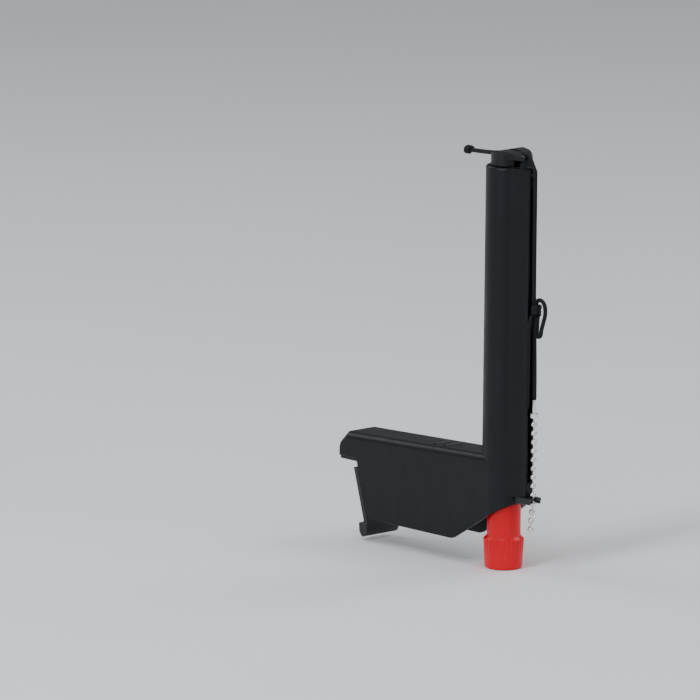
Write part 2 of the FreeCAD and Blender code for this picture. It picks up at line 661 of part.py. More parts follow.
def make_drive():
    """Bearing plate, spindle, washer, clip, knob and the knob's screw."""
    axis = "post_axis_x"
    disc = cylinder("plate_disc", (axis, "0", "-plate_thickness"), "plate_radius", "plate_thickness")
    holes = [cylinder("plate_bore", (axis, "0", "-plate_thickness - 1"), "journal_radius + 0.05",
                      "plate_thickness + 2")]
    screws = []
    for side_name, side_y in (("far", "plate_screw_y"), ("near", "-plate_screw_y")):
        holes.append(cylinder(f"plate_hole_{side_name}", (axis, side_y, "-plate_thickness - 1"),
                              "plate_hole_radius", "plate_thickness + 2"))
        screws.append(pan_screw(f"plate_screw_{side_name}", axis, side_y, "-plate_thickness",
                                "plate_screw_length", "plate_screw_radius", "plate_screw_head",
                                "plate_screw_head_height", up=1))
    node("bearing_plate", cut("plate_cut", disc, holes))
    node("bearing_screws", group("plate_screw_pair", screws))

    washer = cylinder("washer_disc", (axis, "0", "-plate_thickness - 0.9"), "washer_radius",
                      "washer_thickness")
    washer_bore = cylinder("washer_bore", (axis, "0", "-plate_thickness - 2"), "journal_radius + 0.1", "3")
    node("thrust_washer", cut("washer_cut", washer, [washer_bore]))
    clip = cylinder("clip_disc", (axis, "0", "-plate_thickness - 1.8"), "clip_radius",
                    "washer_thickness")
    clip_bore = cylinder("clip_bore", (axis, "0", "-plate_thickness - 3"), "clip_groove_radius + 0.02", "3")
    clip_gap = box("clip_gap", (axis, "-1.6", "-plate_thickness - 3"),
                   (f"{axis} + 6", "1.6", "-plate_thickness"))
    node("spindle_clip", cut("clip_cut", clip, [clip_bore, clip_gap]))

    groove_top = "-plate_thickness - 0.95"
    groove_low = "-plate_thickness - 1.85"
    node("spindle", profile_body("spindle", [
        ("1.3", "spindle_bottom_z"), ("1.3", "spindle_bottom_z + 9"), ("0", "spindle_bottom_z + 10"),
        ("0", "thread_top_z"), ("thread_radius - 0.6", "thread_top_z"),
        ("thread_radius", "thread_top_z - 0.6"),
        ("thread_radius", "0.1 + collar_height"), ("collar_radius", "0.1 + collar_height"),
        ("collar_radius", "0.1"), ("journal_radius", "0.1"), ("journal_radius", groove_top),
        ("clip_groove_radius", groove_top), ("clip_groove_radius", groove_low),
        ("journal_radius", groove_low), ("journal_radius", "spindle_bottom_z"),
    ]))
    knob = profile_body("knob", [
        ("journal_radius + 0.02", "knob_neck_top_z"), ("knob_neck_radius - 0.4", "knob_neck_top_z"),
        ("knob_neck_radius", "knob_neck_top_z - 0.4"), ("knob_neck_radius", "knob_shoulder_z"),
        ("knob_radius - 0.3", "knob_shoulder_z - knob_shoulder + 0.2"),
        ("knob_radius", "knob_shoulder_z - knob_shoulder"),
        ("knob_base_radius", "knob_bottom_z + knob_edge"),
        ("knob_base_radius - 0.3 * knob_edge", "knob_bottom_z + 0.3 * knob_edge"),
        ("knob_base_radius - knob_edge", "knob_bottom_z"), ("knob_recess_radius", "knob_bottom_z"),
        ("knob_recess_radius", "knob_bottom_z + knob_recess"),
        ("knob_screw_hole", "knob_bottom_z + knob_recess"),
        ("knob_screw_hole", "spindle_bottom_z - 0.1"), ("journal_radius + 0.02", "spindle_bottom_z - 0.1"),
    ])
    flute = sketch_on(knob, "knob_flute", "XY_Plane", "knob_shoulder_z - 1")
    ring(flute, ("flute_circle", "0"), "flute_radius")
    cutter = feature(knob, "Pocket", flute, "20")
    pattern = knob.newObject("PartDesign::PolarPattern", "knob_flutes")
    pattern.Originals = [cutter]
    pattern.Axis = (flute, ["N_Axis"])
    pattern.Angle = 360
    bind(pattern, Occurrences="flute_count")
    knob.Tip = pattern
    doc.recompute()
    node("height_knob", knob)
    node("knob_screw", pan_screw("knob_screw_part", axis, "0", "knob_bottom_z + knob_recess",
                                 "knob_screw_length", "knob_screw_radius", "knob_screw_head",
                                 "knob_screw_head_height", up=1))


# ------------------------------------------------------------ cord and chain

def at_post(x, y, z):
    """A point measured from the post's axis."""
    return FreeCAD.Vector(size("post_axis_x") + x, y, z)


# centre lines, each from its upper end; x is measured from the post's axis
OVER_HEAD = [(-28, 0, 170.3), (-19.5, 0, 170.6), (-11.5, 0, 171.1), (-4.2, 0, 172.1),
             (3.0, 0, 173.15), (9.6, 0, 173.45), (14.9, 0, 173.0), (16.1, 0, 170.9)]
SLOPE = [(16.1, 0, 170.9), (17.7, 0, 168.1)]
DROP_UPPER = [(17.7, 0, 168.1), (19.3, 0, 165.3), (19.4, 0, 162.0), (19.6, 0, 97.3)]
DROP_LOWER = [(19.9, 0, 90.9), (20.1, 0.3, 81), (20.7, 0.1, 68), (21, 0, 58), (21, 0, 49)]
LOOP = [(20.6, 0.3, 96.4), (20.9, 0.6, 99.7), (24.0, 0.7, 100.7), (27.2, 0.5, 98.6), (28.0, 0.2, 93.8),
        (26.6, 0, 89.0), (25.6, -0.2, 85.6), (25.2, -0.3, 81.8), (21.8, -0.5, 81.7), (22.0, -0.6, 86.2),
        (22.3, -0.4, 91.9)]
TAIL_LONG = [(20.4, -2.0, 92.4), (20.3, -4.1, 86.0), (20.5, -4.5, 75.5), (20.1, -4.0, 63.5),
             (20.2, -4.3, 52.0), (19.8, -4.0, 45.2)]
TAIL_SHORT = [(20.6, 2.1, 92.2), (19.6, 2.55, 87.5), (19.4, 2.5, 81.5)]


def rounded_route(points):
    """Straight runs joined by tangent arcs, as large as the runs allow."""
    corners = [at_post(*p) for p in points]
    edges, radii = [], []
    last = corners[0]
    for before, corner, after in zip(corners, corners[1:], corners[2:]):
        back, ahead = before - corner, after - corner
        turn = math.pi - back.getAngle(ahead)
        shorter = min(back.Length, ahead.Length)
        radius = 0.45 * shorter / math.tan(turn / 2)
        start = corner + back.normalize() * 0.45 * shorter
        end = corner + ahead.normalize() * 0.45 * shorter
        halfway = (back + ahead).normalize()
        middle = corner + halfway * (radius / math.cos(turn / 2) - radius)
        edges.append(Part.LineSegment(last, start).toShape())
        edges.append(Part.Arc(start, middle, end).toShape())
        radii.append(radius)
        last = end
    edges.append(Part.LineSegment(last, corners[-1]).toShape())
    return Part.Wire(edges), radii


def cord_tube(name, points):
    """A plain tube of the cord's thickness along a route."""
    wire, radii = rounded_route(points)
    radius = size("cord_radius")
    start = at_post(*points[0])
    heading = at_post(*points[1]) - start
    section = Part.Wire([Part.makeCircle(radius, start, heading)])
    shape = wire.makePipeShell([section], True, False)
    wanted = math.pi * radius**2 * wire.Length
    print(f"{name}: length {wire.Length:.1f}, radii {[round(r, 1) for r in radii]}, "
          f"volume {shape.Volume:.1f} of {wanted:.1f}")
    made = doc.addObject("Part::Feature", f"{name}_tube")
    made.Shape = shape
    node(name, made)


def make_cord():
    for name, points in (("cord_over_head", OVER_HEAD), ("cord_slope", SLOPE),
                         ("cord_drop_upper", DROP_UPPER), ("cord_drop_lower", DROP_LOWER),
                         ("cord_loop", LOOP), ("cord_tail_long", TAIL_LONG),
                         ("cord_tail_short", TAIL_SHORT)):
        cord_tube(name, points)
    lump = fuse("knot_lump", [
        cylinder("knot_core", ("post_axis_x + 19.9", "0", "91"), "1.4", "6.2"),
        cylinder("knot_band", ("post_axis_x + 21.6", "-0.2", "91.8"), "2.6", "4.6"),
    ])
    node("cord_knot", lump)
    node("cord_stopper_knot", cylinder("stopper", ("post_axis_x - 32", "0", "170.3"), "2.3", "3.9", "X"))


def make_chain():
    """Ferrule, coupling, ball chain above the catch and its loose tail."""
    place_x = "post_axis_x + chain_x"
    ferrule_z = "coupling_bottom_z + coupling_height"
    node("cord_ferrule", cylinder("ferrule_tube", (place_x, "0", ferrule_z), "ferrule_radius",
                                  f"ferrule_top_z - ({ferrule_z})"))
    top_of_balls = "ball_lowest_z + (ball_count - 1) * ball_pitch + ball_radius"
    node("chain_coupling", fuse("coupling_parts", [
        cylinder("coupling_cup", (place_x, "0", "coupling_bottom_z"), "coupling_radius", "coupling_height"),
        cylinder("coupling_neck", (place_x, "0", top_of_balls), "link_radius",
                 f"coupling_bottom_z - ({top_of_balls})")]))
    first_z = "ball_lowest_z - ball_pitch"
    balls = [ball(f"ball_{step}", (place_x, "0", f"{first_z} + {step} * ball_pitch"), "ball_radius")
             for step in range(int(size("ball_count")) + 1)]
    rod = cylinder("link_rod", (place_x, "0", first_z), "link_radius", "ball_count * ball_pitch")
    node("ball_chain_upper", fuse("upper_balls", [*balls, rod]))

    lean = math.radians(size("tail_lean"))
    turn = FreeCAD.Rotation(FreeCAD.Vector(0, 1, 0), size("tail_lean"))
    hinge_z = size("ball_lowest_z") - size("ball_pitch")
    pieces = []
    for step in range(1, int(size("tail_count")) + 1):
        down = step * size("ball_pitch")
        spot = at_post(size("chain_x") - down * math.sin(lean), 0, hinge_z - down * math.cos(lean))
        pieces.append(ball(f"tail_ball_{step}", (spot.x, "0", spot.z), "ball_radius"))
    rod_long = size("tail_count") * size("ball_pitch") - size("ball_radius") - 0.35
    rod = doc.addObject("Part::Cylinder", "tail_rod")
    bind(rod, Radius="link_radius", Height=rod_long)
    end = size("tail_count") * size("ball_pitch")
    spot = at_post(size("chain_x") - end * math.sin(lean), 0, hinge_z - end * math.cos(lean))
    rod.Placement = FreeCAD.Placement(spot, turn)
    node("ball_chain_tail", fuse("tail_balls", [*pieces, rod]))

    # slotted catch under the spine, with turned-down sides
    web_low = "spine_bottom_z - catch_thickness"
    root = "post_axis_x + catch_root"
    web = box("catch_web", (root, "-catch_half", web_low),
              ("post_axis_x + catch_reach", "catch_half", "spine_bottom_z"))
    sides = [box(f"catch_side_{step}", (root, low, "spine_bottom_z - catch_side_drop"),
                 ("post_axis_x + catch_side_reach", high, "spine_bottom_z - catch_side_overlap"))
             for step, (low, high) in enumerate((("-catch_half", "catch_side - catch_half"),
                                                 ("catch_half - catch_side", "catch_half")))]
    slot = box("catch_slot", ("post_axis_x + chain_x - catch_slot_half", "-catch_slot_half",
                              f"{web_low} - 1"),
               ("post_axis_x + catch_reach + 1", "catch_slot_half", "spine_bottom_z + 1"))
    hole = cylinder("catch_hole", ("post_axis_x + catch_screw_x", "0", f"{web_low} - 1"),
                    "catch_hole_radius", "catch_thickness + 2")
    node("chain_catch", cut("catch_cut", fuse("catch_blank", [web, *sides]), [slot, hole]))
    node("catch_screw", pan_screw("catch_screw_part", "post_axis_x + catch_screw_x", "0", web_low, "7",
                                  "catch_screw_radius", "2", "1.4", up=1))


def make_top_guide():
    """Guide plate in the rim and the screw that holds it."""
    top = "post_rim_z"
    low = f"{top} - rim_seat"
    wide = box("guide_plate", ("post_axis_x - seat_back + seat_gap", "seat_gap - seat_half", low),
               ("post_axis_x + seat_step - seat_gap", "seat_half - seat_gap", top))
    tongue = box("guide_tongue", ("post_axis_x + seat_step - 1", "seat_gap - seat_tongue_half", low),
                 ("post_axis_x + seat_tongue - seat_gap", "seat_tongue_half - seat_gap", top))
    plate = fuse("guide_blank", [wide, tongue])
    window = box("guide_window", ("post_axis_x - guide_back + 0.1", "-guide_half + 0.1", f"{top} - 4"),
                 ("post_axis_x + guide_front - 0.1", "guide_half - 0.1", f"{top} + 1"))
    hole = cylinder("guide_hole", ("post_axis_x + guide_screw_x", "0", f"{top} - 4"),
                    "guide_screw_head - 0.3", "6")
    node("top_guide", cut("guide_cut", plate, [window, hole]))
    node("guide_screw", pan_screw("guide_screw_part", "post_axis_x + guide_screw_x", "0", top,
                                  "guide_screw_length", "1.2", "guide_screw_head",
                                  "guide_screw_head_height", up=-1))


housing = make_housing()
node("bracket_housing", cut("housing_cut", housing, make_hook_parts()))
node("jaw_pad", box("pad_box", ("arm_end_x + 0.5", "1 - arm_half_width", "0"),
                    ("lip_root_x - 0.6", "arm_half_width - 1", "pad_thickness")))
make_slider()
make_drive()
make_top_guide()
make_cord()
make_chain()
doc.recompute()

faults = [f"{one.Label}: {one.State}" for one in doc.Objects
          if {"Invalid", "Error"} & set(one.State)]
for name, thing in nodes.items():
    if thing.Shape.isNull() or not thing.Shape.isValid():
        faults.append(f"{name}: its shape is null or not valid")
if faults:
    raise SystemExit("\n".join(faults))

os.makedirs("parts", exist_ok=True)
for name, thing in nodes.items():
    thing.Shape.exportStep(f"parts/{name}.step")
    print(f"{name}: {len(thing.Shape.Solids)} solid(s), {thing.Shape.Volume:.0f} mm3")
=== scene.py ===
import json
import math

import bpy
from mathutils import Matrix, Vector


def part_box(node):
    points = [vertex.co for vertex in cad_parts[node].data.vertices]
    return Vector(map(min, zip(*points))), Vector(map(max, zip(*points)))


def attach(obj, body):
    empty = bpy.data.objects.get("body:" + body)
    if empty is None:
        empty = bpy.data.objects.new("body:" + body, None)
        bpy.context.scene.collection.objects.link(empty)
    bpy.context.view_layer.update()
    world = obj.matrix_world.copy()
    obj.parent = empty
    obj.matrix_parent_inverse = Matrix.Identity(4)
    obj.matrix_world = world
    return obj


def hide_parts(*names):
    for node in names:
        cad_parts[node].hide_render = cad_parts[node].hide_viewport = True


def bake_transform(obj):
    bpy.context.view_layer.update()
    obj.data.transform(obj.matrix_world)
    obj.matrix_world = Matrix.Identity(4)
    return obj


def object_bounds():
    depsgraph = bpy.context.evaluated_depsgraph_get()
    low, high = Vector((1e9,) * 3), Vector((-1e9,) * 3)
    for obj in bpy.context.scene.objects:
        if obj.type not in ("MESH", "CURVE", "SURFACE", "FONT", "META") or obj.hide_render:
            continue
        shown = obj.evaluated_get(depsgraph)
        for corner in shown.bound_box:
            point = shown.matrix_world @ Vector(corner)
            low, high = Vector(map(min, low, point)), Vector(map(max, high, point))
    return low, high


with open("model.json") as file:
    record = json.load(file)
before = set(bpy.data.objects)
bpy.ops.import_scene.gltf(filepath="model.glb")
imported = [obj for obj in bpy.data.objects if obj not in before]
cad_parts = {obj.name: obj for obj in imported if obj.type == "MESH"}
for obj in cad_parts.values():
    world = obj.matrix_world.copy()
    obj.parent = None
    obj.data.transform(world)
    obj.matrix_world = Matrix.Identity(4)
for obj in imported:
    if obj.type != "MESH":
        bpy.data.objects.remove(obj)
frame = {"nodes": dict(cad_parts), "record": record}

CAD_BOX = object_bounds()


def middle_of(node):
    low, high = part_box(node)
    return (low + high) / 2


# the post's axis, from which the cord's points are measured
POST = middle_of("spindle")
POST_X = POST.x
CORD_RADIUS = 0.0011


# ------------------------------------------------------------------ camera

CAMERA_AZIMUTH = math.radians(47.1)
CAMERA_ELEVATION = math.radians(11)
CAMERA_ROLL = math.radians(0.63)
CAMERA_DISTANCE = 5.64
CAMERA_LENS = 566
CAMERA_AIM = Vector((POST_X - 0.1158, 0, 0.0541))


def make_camera():
    """A long lens from the outer side, a little above the post's top."""
    data = bpy.data.cameras.new("camera")
    data.lens = CAMERA_LENS
    data.sensor_width = 36
    data.clip_end = 50
    camera = bpy.data.objects.new("camera", data)
    bpy.context.scene.collection.objects.link(camera)
    flat = math.cos(CAMERA_ELEVATION)
    back = Vector((math.sin(CAMERA_AZIMUTH) * flat, -math.cos(CAMERA_AZIMUTH) * flat,
                   math.sin(CAMERA_ELEVATION)))
    camera.location = CAMERA_AIM + back * CAMERA_DISTANCE
    facing = (-back).to_track_quat("-Z", "Y").to_matrix()
    camera.rotation_euler = (facing @ Matrix.Rotation(CAMERA_ROLL, 3, "Z")).to_euler()
    bpy.context.scene.camera = camera


# ----------------------------------------------------------------- materials

def node_tree(name):
    """A new material, its node tree and its shader."""
    material = bpy.data.materials.new(name)
    material.use_nodes = True
    tree = material.node_tree
    shader = tree.nodes["Principled BSDF"]
    return material, tree, shader


def add(tree, kind, inputs=(), **settings):
    """Adds a node; inputs are (socket, value or output) pairs."""
    made = tree.nodes.new(kind)
    for name, value in settings.items():
        setattr(made, name, value)
    for socket, value in inputs:
        if isinstance(value, bpy.types.NodeSocket):
            tree.links.new(value, made.inputs[socket])
        else:
            made.inputs[socket].default_value = value
    return made


def ramp(tree, factor, stops):
    """A colour ramp; stops are (place, colour) pairs."""
    made = add(tree, "ShaderNodeValToRGB", [("Fac", factor)])
    made.color_ramp.elements[0].position, made.color_ramp.elements[1].position = stops[0][0], stops[-1][0]
    made.color_ramp.elements[0].color = (*stops[0][1], 1)
    made.color_ramp.elements[1].color = (*stops[-1][1], 1)
    for place, colour in stops[1:-1]:
        made.color_ramp.elements.new(place).color = (*colour, 1)
    return made.outputs["Color"]


def grey(level):
    return (level, level, level)


def noise(tree, scale, detail=3, roughness=0.5, stretch=(1, 1, 1)):
    """Noise in the piece's own coordinates; scale is in features per metre."""
    place = add(tree, "ShaderNodeTexCoord").outputs["Object"]
    mapped = add(tree, "ShaderNodeMapping", [("Vector", place), ("Scale", stretch)]).outputs["Vector"]
    made = add(tree, "ShaderNodeTexNoise", [("Vector", mapped), ("Scale", scale), ("Detail", detail),
                                            ("Roughness", roughness)])
    return made.outputs["Fac"]


def bump(tree, height, distance, strength):
    inputs = [("Height", height), ("Distance", distance), ("Strength", strength)]
    return add(tree, "ShaderNodeBump", inputs).outputs["Normal"]


def edge_wear_and_highlight_mask(tree):
    """1 on sharp convex edges, 0 on flat faces; it gives rubbed bare metal on powder coat and a painted
    highlight on moulded plastic.
    """
    pointiness = add(tree, "ShaderNodeNewGeometry").outputs["Pointiness"]
    made = add(tree, "ShaderNodeMapRange", [("Value", pointiness), ("From Min", 0.56), ("From Max", 0.68)])
    return made.outputs["Result"]


def moulded_plastic(name, dark, light, rough_low, rough_high, grain=2600, grain_depth=0.00003,
                    coat=0.0, gloss=0.3):
    """Injection-moulded plastic: fine spark-eroded grain, faint flow marks and a painted highlight on
    convex edges.
    """
    material, tree, shader = node_tree(name)
    cloud = noise(tree, 38, 4, 0.6)
    tone = ramp(tree, cloud, [(0.3, dark), (0.7, light)])
    # painted highlight: convex edges are mixed towards a lighter colour
    edge_wear_and_highlight = edge_wear_and_highlight_mask(tree)
    painted_highlight_colour = tuple(min(1, part * 1.9 + 0.004) for part in light)
    coloured = add(tree, "ShaderNodeMix", [("Factor", edge_wear_and_highlight)], data_type="RGBA")
    tree.links.new(tone, coloured.inputs["A"])
    coloured.inputs["B"].default_value = (*painted_highlight_colour, 1)
    tree.links.new(coloured.outputs["Result"], shader.inputs["Base Color"])
    smears = noise(tree, 160, 5, 0.65, (1, 1, 0.35))
    rough = add(tree, "ShaderNodeMapRange", [("Value", smears), ("From Min", 0.3), ("From Max", 0.7),
                                             ("To Min", rough_low), ("To Max", rough_high)])
    tree.links.new(rough.outputs["Result"], shader.inputs["Roughness"])
    fine = noise(tree, grain, 2, 0.6)
    tree.links.new(bump(tree, fine, grain_depth, 0.35), shader.inputs["Normal"])
    shader.inputs["Specular IOR Level"].default_value = gloss
    shader.inputs["Coat Weight"].default_value = coat
    shader.inputs["Coat Roughness"].default_value = 0.2
    return material


def plated_metal(name, dark, light, rough_low, rough_high, scratches=900):
    """Plated steel or turned brass: fine scratches and a little tarnish."""
    material, tree, shader = node_tree(name)
    shader.inputs["Metallic"].default_value = 1.0
    cloud = noise(tree, 240, 4, 0.6)
    tree.links.new(ramp(tree, cloud, [(0.3, dark), (0.65, light)]), shader.inputs["Base Color"])
    lines = noise(tree, scratches, 3, 0.7, (1, 1, 0.08))
    rough = add(tree, "ShaderNodeMapRange", [("Value", lines), ("From Min", 0.35), ("From Max", 0.65),
                                             ("To Min", rough_low), ("To Max", rough_high)])
    tree.links.new(rough.outputs["Result"], shader.inputs["Roughness"])
    tree.links.new(bump(tree, lines, 0.00002, 0.15), shader.inputs["Normal"])
    return material


def powder_coat(name):
    """Black powder coat on pressed steel, rubbed thin at its sharpest edges."""
    material, tree, shader = node_tree(name)
    edge_wear_and_highlight = edge_wear_and_highlight_mask(tree)
    patchy = noise(tree, 420, 4, 0.7)
    rubbed = add(tree, "ShaderNodeMath", [(0, edge_wear_and_highlight), (1, patchy)], operation="MULTIPLY").outputs["Value"]
    bare = add(tree, "ShaderNodeMapRange", [("Value", rubbed), ("From Min", 0.5), ("From Max", 0.75),
                                            ("To Max", 0.5)]).outputs["Result"]
    tree.links.new(ramp(tree, bare, [(0, (0.009, 0.009, 0.01)), (1, (0.1, 0.1, 0.105))]),
                   shader.inputs["Base Color"])
    tree.links.new(bare, shader.inputs["Metallic"])
    peel = noise(tree, 1500, 2, 0.5)
    rough = add(tree, "ShaderNodeMapRange", [("Value", peel), ("From Min", 0.3), ("From Max", 0.7),
                                             ("To Min", 0.38), ("To Max", 0.52)])
    tree.links.new(rough.outputs["Result"], shader.inputs["Roughness"])
    tree.links.new(bump(tree, peel, 0.00004, 0.4), shader.inputs["Normal"])
    return material


def braided_fibre():
    """Black polyester yarn: fine filaments and a soft sheen."""
    material, tree, shader = node_tree("cord_fibre")
    fuzz = noise(tree, 5200, 3, 0.7)
    tree.links.new(ramp(tree, fuzz, [(0.3, (0.002, 0.002, 0.0025)), (0.7, (0.007, 0.007, 0.0085))]),
                   shader.inputs["Base Color"])
    rough = add(tree, "ShaderNodeMapRange", [("Value", fuzz), ("From Min", 0.3), ("From Max", 0.7),
                                             ("To Min", 0.5), ("To Max", 0.75)])
    tree.links.new(rough.outputs["Result"], shader.inputs["Roughness"])
    shader.inputs["Specular IOR Level"].default_value = 0.25
    shader.inputs["Sheen Weight"].default_value = 0.05
    shader.inputs["Sheen Roughness"].default_value = 0.4
    tree.links.new(bump(tree, fuzz, 0.00004, 0.5), shader.inputs["Normal"])
    return material


def rubber():
    material, tree, shader = node_tree("rubber_black")
    dust = noise(tree, 300, 5, 0.7)
    tree.links.new(ramp(tree, dust, [(0.35, (0.011, 0.011, 0.011)), (0.75, (0.035, 0.034, 0.033))]),
                   shader.inputs["Base Color"])
    rough = add(tree, "ShaderNodeMapRange", [("Value", dust), ("To Min", 0.7), ("To Max", 0.95)])
    tree.links.new(rough.outputs["Result"], shader.inputs["Roughness"])
    tree.links.new(bump(tree, noise(tree, 3000), 0.00003, 0.5), shader.inputs["Normal"])
    return material


def make_materials():
    return {
        "black_shell": moulded_plastic("shell_black", (0.0014, 0.0018, 0.0034), (0.0024, 0.003, 0.0054),
                                       0.36, 0.5),
        "slider_plastic": moulded_plastic("slider_black", (0.003, 0.0031, 0.0036), (0.0052, 0.0054, 0.0062),
                                          0.34, 0.48, grain=3400),
        "red_knob": moulded_plastic("knob_red", (0.66, 0, 0.008), (0.76, 0, 0.011),
                                    0.3, 0.4, grain=1800, grain_depth=0.00002, coat=0.12, gloss=0.2),
        "bearing_plastic": moulded_plastic("acetal_grey", (0.028, 0.028, 0.03), (0.045, 0.045, 0.048),
                                           0.3, 0.42, grain=3000),
        "black_steel": powder_coat("steel_black"),
        "zinc_steel": plated_metal("zinc_plate", (0.5, 0.5, 0.51), (0.72, 0.72, 0.72), 0.24, 0.42),
        "brass": plated_metal("brass_turned", (0.55, 0.36, 0.12), (0.78, 0.58, 0.26), 0.2, 0.36),
        "nickel_chain": plated_metal("nickel_plate", (0.66, 0.65, 0.63), (0.9, 0.89, 0.87), 0.2, 0.34),
        "cord": braided_fibre(),
        "rubber": rubber(),
    }


def dress(piece, slot):
    """Gives a piece the material of the given slot."""
    piece.data.materials.clear()
    piece.data.materials.append(MATERIALS[slot])


# ------------------------------------------------------------------- meshes

# how far each CAD node's sharp edges are broken
BROKEN_EDGES = {"bracket_housing": 0.0004, "slider_head": 0.0003, "chain_catch": 0.00015,
                "hook_plate": 0.0002}


def round_edges(node, width):
    """Breaks a CAD node's sharp edges, as its mould or press tool leaves them."""
    edges = frame["nodes"][node].modifiers.new("rounded_edges", "BEVEL")
    edges.width = width
    edges.segments = 2
    edges.limit_method = "ANGLE"
    edges.angle_limit = math.radians(40)
    edges.harden_normals = True


def mesh_piece(name, verts, faces, slot, body=None):
    mesh = bpy.data.meshes.new(name)
    mesh.from_pydata([tuple(v) for v in verts], [], faces)
    mesh.validate()
    mesh.shade_smooth()
    piece = bpy.data.objects.new(name, mesh)
    bpy.context.scene.collection.objects.link(piece)
    dress(piece, slot)
    if body:
        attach(piece, body)
    return piece


# -------------------------------------------------------------------- cords

# control points, from the upper end, in metres; x is measured from the post's axis
OVER_HEAD = [(-0.028, 0, 0.1703), (-0.0195, 0, 0.1706), (-0.0115, 0, 0.1711), (-0.0042, 0, 0.1721),
             (0.003, 0, 0.17315), (0.0096, 0, 0.17345), (0.0149, 0, 0.173), (0.0161, 0, 0.1709)]
SLOPE = [(0.0177, 0, 0.1681)]
DROP = [(0.0193, 0, 0.1653), (0.0194, 0, 0.162), (0.0196, 0, 0.0973), (0.0199, 0, 0.0909),
        (0.0201, 0.0003, 0.081), (0.0207, 0.0001, 0.068), (0.021, 0, 0.058), (0.021, 0, 0.049)]
LOOP = [(0.0206, 0.0003, 0.0964), (0.0209, 0.0006, 0.0997), (0.024, 0.0007, 0.1007),
        (0.0272, 0.0005, 0.0986), (0.028, 0.0002, 0.0938), (0.0266, 0, 0.089), (0.0256, -0.0002, 0.0856),
        (0.0252, -0.0003, 0.0818), (0.0218, -0.0005, 0.0817), (0.022, -0.0006, 0.0862),
        (0.0223, -0.0004, 0.0919)]
TAIL_LONG = [(0.0204, -0.002, 0.0924), (0.0203, -0.0041, 0.086), (0.0205, -0.0045, 0.0755),
             (0.0201, -0.004, 0.0635), (0.0202, -0.0043, 0.052), (0.0198, -0.004, 0.0452)]
TAIL_SHORT = [(0.0206, 0.0021, 0.0922), (0.0196, 0.00255, 0.0875), (0.0194, 0.0025, 0.0815)]

# share of the cord's thickness left where it is pulled tight
KNOT_SQUEEZE = 0.88
LOOP_SQUEEZE = 0.95
KNOT_TURNS = 3.1
KNOT_COIL = 0.00175
KNOT_LOW = 0.0926
KNOT_HIGH = 0.0972
KNOT_X = 0.0214
KNOT_LEAN = 0.0003
STOPPER_COIL = 0.00135
STOPPER_TURNS = 2.1
STOPPER_STEPS = 34

BRAID_STRANDS = 8
BRAID_RELIEF = 0.00007
RING_STEP = 0.0002
RING_SIDES = 24


def smooth_line(name, points):
    """Points read from a NURBS spline through the route's control points."""
    curve = bpy.data.curves.new(name, "CURVE")
    curve.dimensions = "3D"
    spline = curve.splines.new("NURBS")
    spline.points.add(len(points) - 1)
    for spot, (x, y, z) in zip(spline.points, points):
        spot.co = (POST_X + x, y, z, 1)
    spline.order_u = 3
    spline.use_endpoint_u = True
    spline.resolution_u = 24
    carrier = bpy.data.objects.new(name, curve)
    bpy.context.scene.collection.objects.link(carrier)
    bpy.context.view_layer.update()
    line = bpy.data.meshes.new_from_object(carrier)
    spots = [v.co.copy() for v in line.vertices]
    bpy.data.objects.remove(carrier)
    bpy.data.meshes.remove(line)
    return spots


def evenly(spots, step):
    """The same line with its points an equal distance apart."""
    lengths = [(b - a).length for a, b in zip(spots, spots[1:])]
    count = max(2, round(sum(lengths) / step))
    wanted = sum(lengths) / count
    line, walked, place = [spots[0].copy()], 0.0, 0
    for number in range(1, count):
        target = number * wanted
        while walked + lengths[place] < target:
            walked += lengths[place]
            place += 1
        share = (target - walked) / lengths[place]
        line.append(spots[place].lerp(spots[place + 1], share))
    line.append(spots[-1].copy())
    return line


def line_length(spots):
    return sum((b - a).length for a, b in zip(spots, spots[1:]))


def headings(line):
    """A tangent and a side direction at each point, the side carried along without twist."""
    tangents = []
    for number in range(len(line)):
        ahead, behind = line[min(number + 1, len(line) - 1)], line[max(number - 1, 0)]
        tangents.append((ahead - behind).normalized())
    side = tangents[0].orthogonal().normalized()
    frames = []
    for tangent in tangents:
        side = (side - tangent * side.dot(tangent)).normalized()
        frames.append((side, tangent.cross(side)))
    return frames


def weave(turn, along, radius):
    """Height of a braid's surface: strands of two hands, over one and under one."""
    pitch = math.tau * radius * 1.15
    left = BRAID_STRANDS * (turn / math.tau + along / pitch)
    right = BRAID_STRANDS * (turn / math.tau - along / pitch)
    over = (math.floor(left) + math.floor(right)) % 2 == 0
    crown = abs(math.sin(math.pi * (left if over else right)))
    return BRAID_RELIEF * (crown ** 0.7 - 0.6)


def braided_tube(name, line, radius, body=None, blunt=0.0004):
    """A braided cord about a line, with rounded-over ends."""
    frames = headings(line)
    verts, faces = [], []
    total = line_length(line)
    walked = 0.0
    for number, (spot, (side, up)) in enumerate(zip(line, frames)):
        if number:
            walked += (spot - line[number - 1]).length
        ends = min(walked, total - walked)
        taper = 1 if ends >= blunt else math.sqrt(max(0.3, 1 - (1 - ends / blunt) ** 2))
        for step in range(RING_SIDES):
            turn = math.tau * step / RING_SIDES
            reach = taper * (radius + weave(turn, walked, radius))
            verts.append(spot + (side * math.cos(turn) + up * math.sin(turn)) * reach)
    for ring in range(len(line) - 1):
        base = ring * RING_SIDES
        for step in range(RING_SIDES):
            after = (step + 1) % RING_SIDES
            faces.append((base + step, base + after, base + RING_SIDES + after, base + RING_SIDES + step))
    last = (len(line) - 1) * RING_SIDES
    faces.append(tuple(reversed(range(RING_SIDES))))
    faces.append(tuple(range(last, last + RING_SIDES)))
    return mesh_piece(name, verts, faces, "cord", body)


def cord_line(name, points):
    return evenly(smooth_line(name, points), RING_STEP)


